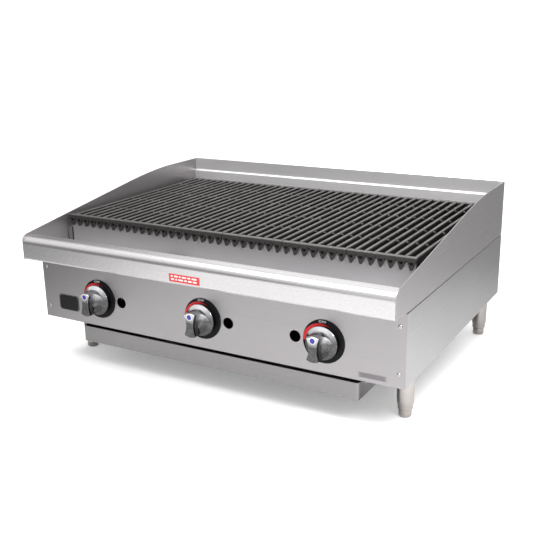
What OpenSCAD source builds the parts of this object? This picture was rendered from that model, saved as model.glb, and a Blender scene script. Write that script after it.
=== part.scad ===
// Countertop radiant gas charbroiler: six lift-out cast-iron grates over three burners.
// Millimetres. +X right, +Y back, +Z up. The origin is on the counter, under the middle of the
// overall box. Pieces are drawn in body coordinates, where y = 0 is the control panel's face and
// z = 0 is the body's underside, and at_body() carries them to the origin.

/* [Body] */
// Width over the two sides
body_w = 914; // [760:2:1220]
// Depth from the control panel's face to the rear panel
body_d = 651; // [540:1:800]
// Height of the lower side panels
side_h = 151; // [130:1:185]
// Clear height under the body with the feet screwed in
leg_h = 110; // [80:1:160]
// Thickness of the stainless sheet
sheet_t = 1.5; // [1:0.1:2]
// Distance of the firebox front wall behind the control panel's face
firebox_y = 92; // [84:1:130]

/* [Bullnose rail] */
// How far the rail stands out in front of the control panel
nose_out = 56; // [46:1:80]
// Height of the rail's flat top above the side panels
nose_rise = 57; // [48:1:70]
// Depth of the rail, front to back
nose_w = 36; // [30:1:44]
// Radius of the rail's top front edge
nose_r = 18; // [8:1:24]

/* [Splashes] */
// Height of the side splashes above the rail, at the front
splash_front_rise = 5; // [1:1:20]
// How far the side splashes rise from the front to the back
splash_rise = 72; // [55:1:110]
// Height of the back splash above the side splashes
back_splash_rise = 9; // [2:1:40]
// Depth of the back splash's crease below its top edge
crease_drop = 44; // [30:1:50]

/* [Grates] */
// Height of the edge that the grates rest on, above the rail
seat_rise = 14; // [10:1:30]
// Gap between the outer grates and the body's sides
grate_side_gap = 16; // [14:1:30]
// Gap between the grates and the back splash
grate_rear_gap = 31; // [26:1:60]
// Number of ridges on a grate
ridge_count = 7; // [5:1:8]
// Width of a ridge
ridge_w = 7; // [5:0.5:9]
// Height of a grate above its seat
grate_h = 13; // [11:1:20]
// Free gap between two grates
grate_gap = 1; // [0.6:0.1:2]
// Depth of the ridges below the seat
ridge_drop = 13; // [8:1:18]
// Distance between the cross ties
tie_pitch = 106; // [80:1:130]

/* [Controls] */
// Distance from the body's sides to the outer knobs
knob_inset = 170.5; // [160:0.5:200]
// Height of the knobs above the body's underside
knob_z = 67; // [60:1:76]
// Diameter of a knob's skirt
knob_d = 72; // [60:1:92]
// Length of a knob, from its skirt to the end of its grip
knob_len = 46.5; // [38:0.5:56]
// Thickness of the grip where the thumb scoops are deepest
grip_w = 16; // [12:1:20]
// How far the dial plate reaches past the knob all round
dial_rim = 9.5; // [6:0.5:14]
// Diameter of a valve stem
stem_d = 6; // [5:0.5:8]
// Diameter of a sight hole
sight_d = 25; // [16:1:30]
// Gap between a dial plate and the sight hole beside it
sight_gap = 6; // [2:0.5:16]

/* [Gas train] */
// Outside diameter of the gas pipe
pipe_d = 26.7; // [21.3:0.1:27]
// How far the gas inlet stands out behind the rear panel
inlet_out = 25; // [18:1:40]
// Outside diameter of a burner tube
burner_d = 38; // [30:1:46]
// Running gap between an air shutter and its burner tube
shutter_gap = 0.08; // [0.02:0.01:0.1]

/* [Drip tray] */
// Gap between the tray's side walls and the legs
tray_leg_gap = 44; // [30:1:90]
// Height of the tray
tray_h = 38; // [24:1:50]
// Gap between the tray's rim and the body's underside
tray_gap = 13.5; // [11:0.5:20]

/* [Legs] */
// Diameter of a leg at the top
leg_d = 38; // [30:1:46]
// Gap between the legs and the body's sides
leg_inset = 19; // [8:1:30]
// Diameter of a foot
foot_d = 27; // [22:1:30]
// Height of a foot under its leg, screwed in
foot_h = 17; // [12:1:24]

/* [Hidden] */
$fn = 64;

// Overall frame
label_t = 0.4;
panel_y = -(body_d + inlet_out - nose_out - label_t) / 2;
side_x = body_w / 2;
splash_t = 2;
inner_x = side_x - splash_t;
seam_gap = 2.6;
front_flange_y = 14;
back_in_y = body_d - sheet_t;
fit_gap = 0.5;

// Flanges of the side panels, the base pan and the splashes
side_flange = 25;
pan_upstand_h = 18;
splash_flange_h = 22;

// Heights that follow from one another
nose_top_z = side_h + nose_rise;
splash_front_z = nose_top_z + splash_front_rise;
splash_back_z = splash_front_z + splash_rise;
back_splash_z = splash_back_z + back_splash_rise;
back_crease_z = back_splash_z - crease_drop;
back_splash_y = body_d - 10;
grate_seat_z = nose_top_z + seat_rise;

// Grates and the firebox under them
grate_count = 6;
grates_w = body_w - 2 * grate_side_gap;
grate_w = grates_w / grate_count;
grate_left = -grates_w / 2;
grate_y = firebox_y - 7;
grate_back_y = back_splash_y - grate_rear_gap;
grate_top_z = grate_seat_z + grate_h;
ridge_pitch = grate_w / ridge_count;
rail_h = 9;
rail_w = 12;
lip_w = 4;
tooth_tip_z = grate_seat_z - 14.5;
tooth_half_w = ridge_pitch / 2 - 1;
drain_hole = [[-5.5, 2], [-2.5, -4], [2.5, -4], [5.5, 2]];
tie_half_w = 4.5;
tie_low = 8;
tie_top_drop = 5;
seat_w = 12;
rear_wall_y = grate_back_y - 14;
hook_gap = 5;
wall_half_w = grates_w / 2 - 4;
liner_x = grates_w / 2 + 0.5;
liner_top_z = grate_seat_z - 22;
funnel_z = 62;
liner_foot = 14;
drip_front_y = firebox_y + 5;
drip_back_y = rear_wall_y - 4;

// Radiants rest on ledges in the firebox
radiant_z = grate_seat_z - 99.5;
radiant_half_w = min(52, grate_w / 2 - 12);
radiant_rise = 40;
radiant_t = 4;
ledge_w = 14;

// Controls, from left to right
knob_pitch = side_x - knob_inset;
dial_d = knob_d + 2 * dial_rim;
sight_offset = dial_d / 2 + sight_gap + sight_d / 2;
stations = [-knob_pitch, 0, knob_pitch];
sight_x = [-knob_pitch + sight_offset, sight_offset, knob_pitch - sight_offset];
dial_t = 2.5;
grip_r = knob_d / 2 - 9;
skirt_h = 9;
scoop_r = grip_r - 2;
scoop_tall = 40;
scoop_depth = 8;
stem_cover = 8;
knob_bore_gap = 0.02;
knob_gap = 1;
skirt_y = -dial_t - knob_gap;
stem_gap = 0.05;
shutter_len = 22;
shutter_y = firebox_y - shutter_len - 10;
spud_in = 4;
spud_r = 6;
valve_y = 12;
valve_r = 13;
valve_len = shutter_y - 14 - valve_y;
stem_depth = valve_len - 12;

// Manifold under the valves, and the supply pipe along the right side to the back
manifold_y = 32;
pipe_r = pipe_d / 2;
manifold_z = pipe_r + sheet_t + 15;
supply_x = side_x - sheet_t - pipe_r - 14;
inlet_thread_len = inlet_out - 5;
thread_cut = 0.4;

// Burners
burner_r = burner_d / 2;
burner_y = shutter_y + sheet_t + spud_in;
header_y = firebox_y + 60;
header_w = 38;
burner_back_y = rear_wall_y - 16;
collar_w = 3;
pilot_dx = 38;
pilot_z = knob_z + burner_r + 6;
pilot_r = 3;

// Grease gutter and its drain spout
gutter_y = -nose_out + nose_w;
gutter_z = side_h + 8;
spout_x = -knob_pitch / 2;
spout_w = 60;
spout_y = firebox_y - 26;
spout_len = 20;
spout_drop = 6;

// Drip tray and its runners
tray_w = 2 * (side_x - leg_inset - leg_d - tray_leg_gap);
drip_half_w = min(wall_half_w - 60, tray_w / 2 - 11);
tray_y = 12.6;
tray_len = grate_back_y - 10 - tray_y;
rim_w = 8;
rim_y = tray_y + 14;
run_gap = 1.5;
run_lift = 0.3;
rim_z = -tray_gap;

// Legs
leg_x = side_x - leg_inset - leg_d / 2;
leg_front_y = 107.7;
leg_back_y = body_d - leg_d / 2 - 2.5;
leg_foot_d = leg_d - 7;
thread_d = 16;
thread_gap = 0.05;
thread_len = 34;

// Fasteners and marks
screw_x = side_x - 13;
screw_z = [28, side_h - 26];
screw_d = 4;
screw_head_d = 9;
screw_gap = 0.2;
badge_x = -side_x + 75;
badge_z = 43;
plate_x = side_x - 67;
label_x = -3;

STEEL = "#c9c9cb";
STEEL_DARK = "#98989c";
IRON = "#3a3838";
CHROME = "#d8dade";
BLACK = "#161618";

// ---- Helpers ----

// Carries body coordinates to the origin on the counter
module at_body() translate([0, panel_y, leg_h]) children();

// A box from its lowest corner to its highest
module box(low, high) translate(low) cube(high - low);

// A flat shape in Y and Z, drawn out along X
module along_x(x0, x1)
    translate([x0, 0, 0]) rotate([90, 0, 90]) linear_extrude(x1 - x0) children();

// A flat shape in X and Z, drawn out along Y
module along_y(y0, y1)
    translate([0, y1, 0]) rotate([90, 0, 0]) linear_extrude(y1 - y0) children();

// Round bars along each axis
module rod_x(x0, x1, y, z, r) translate([x0, y, z]) rotate([0, 90, 0]) cylinder(h = x1 - x0, r = r);
module rod_y(x, y0, y1, z, r) translate([x, y0, z]) rotate([-90, 0, 0]) cylinder(h = y1 - y0, r = r);
module rod_z(x, y, z0, z1, r) translate([x, y, z0]) cylinder(h = z1 - z0, r = r);

// Both sides, from one drawn on the right
module both_sides() { children(); mirror([1, 0, 0]) children(); }

// Outline of a bent sheet: its line of bends, with the thickness t to the left of the line
function unit(v) = v / norm(v);
function left_of(v) = [-v[1], v[0]];
function inner_bend(p, i, t) =
    let (before = i > 0 ? unit(p[i] - p[i - 1]) : unit(p[i + 1] - p[i]),
         after = i < len(p) - 1 ? unit(p[i + 1] - p[i]) : before,
         n = unit(left_of(before) + left_of(after)))
    p[i] + n * t / (n * left_of(before));
function sheet_outline(p, t) = concat(p, [for (i = [len(p) - 1:-1:0]) inner_bend(p, i, t)]);
module bent_sheet(p, t = sheet_t) polygon(sheet_outline(p, t));

// Points of an arc, and of a curve that leaves a for b on its way to c
function arc(centre, r, from, to, steps = 8) =
    [for (i = [0:steps]) centre + r * [cos(from + (to - from) * i / steps), sin(from + (to - from) * i / steps)]];
function bend(a, b, c, steps = 8) =
    [for (i = [0:steps]) let (t = i / steps) a * (1 - t) * (1 - t) + b * 2 * t * (1 - t) + c * t * t];

// ---- Body ----

module base_pan() color(STEEL_DARK) at_body() difference() {
    union() {
        box([-inner_x, sheet_t, 0], [inner_x, back_in_y, sheet_t]);
        both_sides() box([inner_x - sheet_t, 30, 0], [inner_x, back_in_y - 10, pan_upstand_h]);
    }
    box([-drip_half_w, drip_front_y, -1], [drip_half_w, drip_back_y, sheet_t + 1]);
    box([spout_x - spout_w / 2 - 1, spout_y - 1, -1], [spout_x + spout_w / 2 + 1, spout_y + spout_len + 1, sheet_t + 1]);
}

// The right-hand panel; the left one is its mirror image
module side_panel() difference() {
    union() {
        box([inner_x, sheet_t, 0], [side_x, body_d, side_h]);
        box([inner_x - side_flange, sheet_t, sheet_t + fit_gap], [inner_x, 2 * sheet_t, side_h - 2]);
    }
    for (z = screw_z) rod_y(screw_x, 0, 10, z, screw_d / 2 + screw_gap);
}
module left_side_panel() color(STEEL) at_body() mirror([1, 0, 0]) side_panel();
module right_side_panel() color(STEEL) at_body() side_panel();

module rear_panel() color(STEEL_DARK) at_body() difference() {
    box([-inner_x, back_in_y, 0], [inner_x, body_d, back_crease_z - 2]);
    rod_y(supply_x, back_in_y - 1, body_d + 1, manifold_z, pipe_r + 1);
}

module front_panel() color(STEEL) at_body() difference() {
    union() {
        box([-side_x, 0, 0], [side_x, sheet_t, side_h + 1]);
        box([-inner_x + fit_gap, sheet_t, side_h + 1 - sheet_t], [inner_x - fit_gap, front_flange_y, side_h + 1]);
    }
    for (x = sight_x) rod_y(x, -1, sheet_t + 1, knob_z, sight_d / 2);
    for (x = stations) rod_y(x, -1, sheet_t + 1, knob_z, stem_d);
    for (x = [-screw_x, screw_x], z = screw_z) rod_y(x, -1, sheet_t + 1, z, screw_d / 2 + screw_gap);
}

// The rail is one folded sheet: under flange, round nose, flat top and rear skirt
module bullnose_rail() color(STEEL) at_body() along_x(-inner_x, inner_x) {
    y0 = -nose_out;
    low_z = side_h + 4;
    bent_sheet(concat(
        [[front_flange_y, side_h + 1], [0, side_h + 1], [y0 + 4, low_z]],
        [[y0, low_z + 4]],
        arc([y0 + nose_r, nose_top_z - nose_r], nose_r, 180, 90),
        [[gutter_y, nose_top_z], [gutter_y, gutter_z]]), -sheet_t);
}

// The gutter's floor runs from the rail's skirt to the firebox, with a drain spout down through the base pan
module grease_gutter() color(STEEL_DARK) at_body() difference() {
    union() {
        box([-inner_x + 1, gutter_y, gutter_z], [inner_x - 1, firebox_y, gutter_z + sheet_t]);
        box([spout_x - spout_w / 2, spout_y, -spout_drop], [spout_x + spout_w / 2, spout_y + spout_len, gutter_z + sheet_t]);
    }
    box([spout_x - spout_w / 2 + sheet_t, spout_y + sheet_t, -spout_drop - 1],
        [spout_x + spout_w / 2 - sheet_t, spout_y + spout_len - sheet_t, gutter_z + sheet_t + 1]);
}

// Side splash, drawn on the right: a round front corner, a rising edge and a level back
splash_slope = 0.148;
function splash_z(y) = splash_front_z + splash_slope * (y + nose_out - 14);
level_y = -nose_out + 14 + (splash_back_z - splash_front_z) / splash_slope;
module side_splash() {
    foot_z = side_h + seam_gap;
    bend_in = [level_y - 130, splash_z(level_y - 130)];
    along_x(inner_x, side_x) polygon(concat(
        [[sheet_t, foot_z], [sheet_t, foot_z + 1.4], [-nose_out, foot_z + 1.4]],
        bend([-nose_out, splash_front_z - 16], [-nose_out, splash_front_z - 2.5], [-nose_out + 14, splash_front_z]),
        bend(bend_in, [level_y, splash_back_z], [min(level_y + 80, body_d), splash_back_z]),
        [[body_d, splash_back_z], [body_d, foot_z]]));
    box([inner_x - splash_t, front_flange_y + 1, side_h - splash_flange_h], [inner_x, back_in_y, side_h + 6]);
}
module left_splash() color(STEEL) at_body() mirror([1, 0, 0]) side_splash();
module right_splash() color(STEEL) at_body() side_splash();

// Back splash: a foot flange, an upright, a crease, a leaning band and a rolled top edge
module back_splash() color(STEEL) at_body() {
    low_z = grate_seat_z + sheet_t + fit_gap;
    edge_y = body_d - 0.1;
    along_x(-inner_x, inner_x) bent_sheet([
        [back_in_y, low_z], [back_splash_y, low_z], [back_splash_y, back_crease_z],
        [body_d - 4, back_crease_z + 3], [body_d - 6, back_splash_z - 8], [edge_y, back_splash_z],
        [edge_y, back_splash_z - 6]], -sheet_t);
}

// ---- Firebox ----

// Front and back of the firebox have the same outline: a funnel under an upright wall
module firebox_outline(top_z) polygon([
    [-drip_half_w - 4, sheet_t], [drip_half_w + 4, sheet_t], [wall_half_w, funnel_z],
    [wall_half_w, top_z], [-wall_half_w, top_z], [-wall_half_w, funnel_z]]);

module firebox_front_wall() color(STEEL) at_body() difference() {
    union() {
        along_y(firebox_y, firebox_y + sheet_t) firebox_outline(grate_seat_z);
        box([-wall_half_w, firebox_y, grate_seat_z - sheet_t], [wall_half_w, firebox_y + seat_w, grate_seat_z]);
        box([-wall_half_w, firebox_y, radiant_z - sheet_t], [wall_half_w, firebox_y + sheet_t + ledge_w, radiant_z]);
    }
    for (x = stations) {
        rod_y(x, firebox_y - 1, firebox_y + sheet_t + 1, knob_z, burner_r + 3);
        rod_y(x + pilot_dx, firebox_y - 1, firebox_y + sheet_t + 1, pilot_z, pilot_r + 1);
    }
}

module firebox_rear_wall() color(STEEL_DARK) at_body() {
    along_y(rear_wall_y, rear_wall_y + sheet_t) firebox_outline(grate_seat_z);
    box([-wall_half_w, rear_wall_y, grate_seat_z - sheet_t], [wall_half_w, back_splash_y, grate_seat_z]);
    box([-wall_half_w, rear_wall_y + sheet_t - ledge_w, radiant_z - sheet_t], [wall_half_w, rear_wall_y + sheet_t, radiant_z]);
}

module firebox_liner() {
    along_y(firebox_y + 2 * sheet_t, rear_wall_y) bent_sheet([
        [drip_half_w + 6 + liner_foot, sheet_t], [drip_half_w + 6, sheet_t], [liner_x, funnel_z],
        [liner_x, liner_top_z], [inner_x - fit_gap, liner_top_z]], -sheet_t);
    box([liner_x, firebox_y, side_h + 1], [inner_x - splash_t, firebox_y + 2 * sheet_t + 1, liner_top_z]);
}
module left_firebox_liner() color(STEEL_DARK) at_body() mirror([1, 0, 0]) firebox_liner();
module right_firebox_liner() color(STEEL_DARK) at_body() firebox_liner();

// ---- Grates and radiants ----

module grate(i) color(IRON) at_body() translate([grate_left + i * grate_w, 0, 0]) {
    x0 = grate_gap / 2;
    x1 = grate_w - grate_gap / 2;
    ridges = [for (k = [0:ridge_count - 1]) x1 - ridge_w / 2 - k * ridge_pitch];
    // Front rail, rear rail and cross ties
    box([x0, grate_y, grate_top_z - rail_h], [x1, grate_y + rail_w, grate_top_z]);
    box([x0, grate_back_y - rail_w, grate_seat_z], [x1, grate_back_y, grate_top_z - 1]);
    for (y = [firebox_y + tie_pitch:tie_pitch:rear_wall_y - 20])
        box([x0, y - tie_half_w, grate_seat_z - tie_low], [x1, y + tie_half_w, grate_top_z - tie_top_drop]);
    // Ridges: shallow over both seats, deep between them
    along_y(grate_y + 2, grate_back_y - 2) for (x = ridges) translate([x, 0])
        ridge_shape(grate_seat_z);
    along_y(firebox_y + seat_w + hook_gap, rear_wall_y - hook_gap) for (x = ridges) translate([x, 0])
        ridge_shape(grate_seat_z - ridge_drop);
    // Drip lip in front of the firebox: a pointed spout under each channel, with a drain hole
    along_y(grate_y, grate_y + lip_w) difference() {
        for (x = ridges) translate([x + ridge_w / 2 - ridge_pitch / 2, 0])
            polygon([[-tooth_half_w, grate_seat_z + 5], [-1.7, tooth_tip_z], [1.7, tooth_tip_z], [tooth_half_w, grate_seat_z + 5]]);
        for (x = ridges) translate([x + ridge_w / 2 - ridge_pitch / 2, 0])
            polygon([for (corner = drain_hole) corner + [0, grate_seat_z]]);
    }
}
module ridge_shape(low_z) polygon([
    [-2, low_z], [2, low_z], [ridge_w / 2, grate_top_z - 2.5], [ridge_w / 2 - 1.4, grate_top_z],
    [-ridge_w / 2 + 1.4, grate_top_z], [-ridge_w / 2, grate_top_z - 2.5]]);

module radiant(i) color(IRON) at_body() translate([grate_left + (i + 0.5) * grate_w, 0, 0])
    along_y(firebox_y + sheet_t + 1, rear_wall_y - 1) bent_sheet([
        [-radiant_half_w, radiant_z], [0, radiant_z + radiant_rise], [radiant_half_w, radiant_z]], radiant_t);

// ---- Gas train ----

// A U burner: its inlet on the knob's line, and a leg under the middle of each of two grates
module burner(s) color(STEEL_DARK) at_body() {
    x = stations[s];
    mid_x = (s - 1) * 2 * grate_w;
    legs = [mid_x - grate_w / 2, mid_x + grate_w / 2];
    difference() {
        union() {
            rod_y(x, burner_y, header_y + 2, knob_z, burner_r);
            rod_y(x, firebox_y + sheet_t, firebox_y + sheet_t + collar_w, knob_z, burner_r + 7);
            box([legs[0] - burner_r, header_y, knob_z - burner_r], [legs[1] + burner_r, header_y + header_w, knob_z + burner_r]);
            for (leg = legs) {
                rod_y(leg, header_y + header_w - 2, burner_back_y, knob_z, burner_r);
                rod_y(leg, burner_back_y - 2, rear_wall_y, knob_z, 5);
            }
        }
        rod_y(x, burner_y - 1, header_y + 6, knob_z, burner_r - 3);
    }
}

// Air shutter: a collar that turns on the burner's inlet, with two air ports in its front
module air_shutter(s) color("#b9b9b4") at_body() difference() {
    x = stations[s];
    r = burner_r + shutter_gap;
    rod_y(x, shutter_y, shutter_y + shutter_len, knob_z, r + 3);
    rod_y(x, shutter_y + sheet_t, shutter_y + shutter_len + 1, knob_z, r);
    rod_y(x, shutter_y - 1, shutter_y + sheet_t + 1, knob_z, spud_r + 1);
    for (dx = [-12, 12]) rod_y(x + dx, shutter_y - 1, shutter_y + sheet_t + 1, knob_z, 4);
}

module manifold_pipe() color(BLACK) at_body()
    rod_x(stations[0] - 40, supply_x - pipe_r - 6, manifold_y, manifold_z, pipe_r);

// Elbow at the manifold's right-hand end, and the supply pipe to the back
module gas_inlet_pipe() color(BLACK) at_body() {
    box([supply_x - pipe_r - 6, manifold_y - pipe_r - 2, manifold_z - pipe_r - 2],
        [supply_x + pipe_r + 2, manifold_y + pipe_r + 4, manifold_z + pipe_r + 2]);
    rod_y(supply_x, manifold_y + pipe_r + 2, body_d + inlet_out - inlet_thread_len, manifold_z, pipe_r);
    rod_y(supply_x, body_d + inlet_out - inlet_thread_len - 1, body_d + inlet_out, manifold_z, pipe_r - thread_cut);
}

module gas_valve(s) color("#b8a15a") at_body() difference() {
    x = stations[s];
    union() {
        rod_y(x, valve_y, valve_y + valve_len, knob_z, valve_r);
        rod_y(x, valve_y + valve_len - 1, shutter_y + spud_in, knob_z, spud_r);
        rod_z(x, manifold_y, manifold_z, knob_z, 8);
    }
    rod_x(x - 20, x + 20, manifold_y, manifold_z, pipe_r);
    rod_y(x, valve_y - 1, valve_y + stem_depth, knob_z, stem_d / 2 + stem_gap);
}

module valve_stem(s) color(CHROME) at_body()
    rod_y(stations[s], skirt_y - knob_len + stem_cover + 2, valve_y + stem_depth - 2, knob_z, stem_d / 2);

// Standing pilots: a small tube from the manifold up and back to the burner
module pilot_lights() color("#b9b9b4") at_body() for (x = stations) translate([x + pilot_dx, 0, 0]) {
    rod_z(0, manifold_y, manifold_z + pipe_r, pilot_z, pilot_r);
    translate([0, manifold_y, pilot_z]) sphere(r = pilot_r);
    rod_y(0, manifold_y, header_y, pilot_z, pilot_r);
    rod_y(0, header_y - 1, header_y + 10, pilot_z, pilot_r + 1.5);
}

// ---- Knobs ----

// A round skirt and a round body, with a thumb scoop in each side that leaves the grip between them
module knob(s) color(CHROME) at_body() translate([stations[s], skirt_y, knob_z]) difference() {
    r = knob_d / 2;
    rotate([90, 0, 0]) rotate_extrude($fn = 96) polygon([
        [0, 0], [r, 0], [r, skirt_h - 1], [r - 1, skirt_h], [grip_r, skirt_h + (r - grip_r) / 2],
        [grip_r, knob_len - 1.5], [grip_r - 1.5, knob_len], [0, knob_len]]);
    both_sides() translate([grip_w / 2 + scoop_r, scoop_depth - knob_len, 0]) thumb_scoop();
    rod_y(0, stem_cover - knob_len, 1, 0, stem_d / 2 + knob_bore_gap);
}

// What a thumb scoop takes away: a barrel, widest at its middle
module thumb_scoop() {
    high = grip_r + 1;
    rotate_extrude($fn = 96) polygon(concat([[0, -high]],
        [for (k = [-6:6]) let (z = k * high / 6) [scoop_r * sqrt(1 - pow(z / scoop_tall, 2)), z]], [[0, high]]));
}

module dial_plate(s) color(BLACK) at_body() difference() {
    rod_y(stations[s], -dial_t, 0, knob_z, dial_d / 2);
    rod_y(stations[s], -dial_t - 1, 1, knob_z, stem_d / 2 + 2);
}

// ---- Drip tray ----

module drip_tray() color(STEEL_DARK) at_body() {
    x1 = tray_w / 2;
    y1 = tray_y + tray_len;
    low_z = rim_z - tray_h;
    box([-x1, tray_y, low_z], [x1, y1, low_z + sheet_t]);
    box([-x1, tray_y, low_z], [x1, tray_y + sheet_t, rim_z]);
    box([-x1, y1 - sheet_t, low_z], [x1, y1, rim_z]);
    box([-x1, tray_y, rim_z - sheet_t], [x1, tray_y + rim_w, rim_z]);
    both_sides() {
        box([x1 - sheet_t, tray_y, low_z], [x1, y1, rim_z]);
        box([x1 - sheet_t, rim_y, rim_z - sheet_t], [x1 + rim_w, y1, rim_z]);
    }
}

module tray_runners() color(STEEL_DARK) at_body() both_sides() {
    web_x = tray_w / 2 + rim_w + run_gap;
    lip_z = rim_z - sheet_t - run_lift;
    box([web_x, rim_y, lip_z - sheet_t], [web_x + sheet_t, tray_y + tray_len + 4, 0]);
    box([web_x, rim_y, -sheet_t], [web_x + 18, tray_y + tray_len + 4, 0]);
    box([tray_w / 2 + run_gap, rim_y, lip_z - sheet_t], [web_x + sheet_t, tray_y + tray_len + 4, lip_z]);
    box([tray_w / 2 + run_gap, tray_y + tray_len + 2, lip_z - sheet_t], [web_x + sheet_t, tray_y + tray_len + 4, rim_z]);
}

// ---- Legs ----

// The four corners, from the front left
corners = [[-leg_x, leg_front_y], [leg_x, leg_front_y], [-leg_x, leg_back_y], [leg_x, leg_back_y]];
step_z = foot_h + 12;

module leg(i) color(STEEL_DARK) at_body() translate([corners[i][0], corners[i][1], -leg_h]) difference() {
    rotate_extrude() polygon([
        [0, foot_h], [leg_foot_d / 2, foot_h], [leg_foot_d / 2 + 0.5, step_z],
        [leg_foot_d / 2 + 2, step_z + 3], [leg_d / 2, leg_h - 6], [leg_d / 2, leg_h], [0, leg_h]]);
    rod_z(0, 0, foot_h - 1, foot_h + thread_len + 2, thread_d / 2 + thread_gap);
}

module foot(i) color(STEEL_DARK) at_body() translate([corners[i][0], corners[i][1], -leg_h]) {
    rotate_extrude() polygon([
        [0, 0], [foot_d / 2 - 2, 0], [foot_d / 2, 2], [foot_d / 2, foot_h - 3],
        [foot_d / 2 - 1.5, foot_h - 0.3], [0, foot_h - 0.3]]);
    rod_z(0, 0, foot_h - 1, foot_h + thread_len, thread_d / 2);
}

// ---- Fasteners and marks ----

module panel_screws() color(CHROME) at_body() for (x = [-screw_x, screw_x], z = screw_z) translate([x, 0, z]) {
    rotate([90, 0, 0]) rotate_extrude($fn = 32) polygon(concat(
        [[0, 0], [screw_head_d / 2, 0]], bend([screw_head_d / 2, 0.8], [screw_head_d / 2 - 0.6, 2.4], [0, 2.6], 5)));
    rod_y(0, -0.5, 8, 0, screw_d / 2);
}

module front_badge() color(BLACK) at_body() along_y(-1, 0) translate([badge_x, badge_z]) polygon([
    [-30, -14], [-25, -19], [25, -19], [30, -14], [30, 14], [25, 19], [-25, 19], [-30, 14]]);

// A rating plate low on the control panel and a label on the rail, both blank
module stick_on_labels() color("#c23a3a") at_body() {
    box([plate_x - 29, -label_t, 7.7], [plate_x + 29, 0, 18.5]);
    box([label_x - 38, -nose_out - label_t, side_h + 10], [label_x + 38, -nose_out, side_h + 27]);
}

// ---- Nodes ----

base_pan();
left_side_panel();
right_side_panel();
rear_panel();
front_panel();
bullnose_rail();
grease_gutter();
left_splash();
right_splash();
back_splash();
firebox_front_wall();
firebox_rear_wall();
left_firebox_liner();
right_firebox_liner();
grate(0);  // grate_1
grate(1);  // grate_2
grate(2);  // grate_3
grate(3);  // grate_4
grate(4);  // grate_5
grate(5);  // grate_6
radiant(0);  // radiant_1
radiant(1);  // radiant_2
radiant(2);  // radiant_3
radiant(3);  // radiant_4
radiant(4);  // radiant_5
radiant(5);  // radiant_6
burner(0);  // left_burner
burner(1);  // centre_burner
burner(2);  // right_burner
air_shutter(0);  // left_air_shutter
air_shutter(1);  // centre_air_shutter
air_shutter(2);  // right_air_shutter
manifold_pipe();
gas_inlet_pipe();
gas_valve(0);  // left_gas_valve
gas_valve(1);  // centre_gas_valve
gas_valve(2);  // right_gas_valve
valve_stem(0);  // left_valve_stem
valve_stem(1);  // centre_valve_stem
valve_stem(2);  // right_valve_stem
knob(0);  // left_knob
knob(1);  // centre_knob
knob(2);  // right_knob
dial_plate(0);  // left_dial_plate
dial_plate(1);  // centre_dial_plate
dial_plate(2);  // right_dial_plate
pilot_lights();
drip_tray();
tray_runners();
leg(0);  // front_left_leg
leg(1);  // front_right_leg
leg(2);  // back_left_leg
leg(3);  // back_right_leg
foot(0);  // front_left_foot
foot(1);  // front_right_foot
foot(2);  // back_left_foot
foot(3);  // back_right_foot
panel_screws();
front_badge();
stick_on_labels();
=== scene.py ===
import math

import bmesh
import bpy
from mathutils import Matrix, Vector


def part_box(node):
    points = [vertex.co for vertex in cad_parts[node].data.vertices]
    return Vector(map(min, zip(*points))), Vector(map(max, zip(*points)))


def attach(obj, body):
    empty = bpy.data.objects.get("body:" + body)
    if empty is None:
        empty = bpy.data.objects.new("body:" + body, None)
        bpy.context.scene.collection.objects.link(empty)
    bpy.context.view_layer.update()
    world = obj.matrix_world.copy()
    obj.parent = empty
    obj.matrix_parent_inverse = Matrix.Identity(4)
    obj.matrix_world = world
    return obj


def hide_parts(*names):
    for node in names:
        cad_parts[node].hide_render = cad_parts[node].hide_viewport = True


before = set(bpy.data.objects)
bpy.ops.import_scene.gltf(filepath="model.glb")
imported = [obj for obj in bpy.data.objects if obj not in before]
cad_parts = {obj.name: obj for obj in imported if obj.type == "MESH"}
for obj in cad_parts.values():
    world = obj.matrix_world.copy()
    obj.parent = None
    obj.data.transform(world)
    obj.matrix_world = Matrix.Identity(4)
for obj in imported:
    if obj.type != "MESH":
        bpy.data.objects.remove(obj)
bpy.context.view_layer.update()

bl_info = {
    "name": "Countertop Charbroiler",
    "version": (1, 0, 0),
    "blender": (4, 5, 0),
    "location": "3D View > Sidebar > Charbroiler",
    "description": "Builds the visible surfaces of a gas charbroiler around its fixed frame",
    "category": "Add Mesh",
}

MM = 0.001
SIDES = ("left", "centre", "right")
CORNERS = ("front_left", "front_right", "back_left", "back_right")
PANEL_LOW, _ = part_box("front_panel")
SHEET = 1.5


def at(x, y, z):
    """Body millimetres (y = 0 at the control panel's face, z = 0 at the underside) to metres."""
    return Vector((x * MM, PANEL_LOW.y + y * MM, PANEL_LOW.z + z * MM))


def body_box(node):
    """A node's box in body millimetres."""
    low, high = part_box(node)
    shift = Vector((0.0, PANEL_LOW.y, PANEL_LOW.z))
    return (low - shift) / MM, (high - shift) / MM


# ---- Settings ----


def colour_setting(name, description, default):
    return bpy.props.FloatVectorProperty(
        name=name, description=description, subtype="COLOR", size=3, default=default)


def length_setting(name, description, default):
    return bpy.props.FloatProperty(name=name, description=description, default=default, unit="LENGTH")


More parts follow.
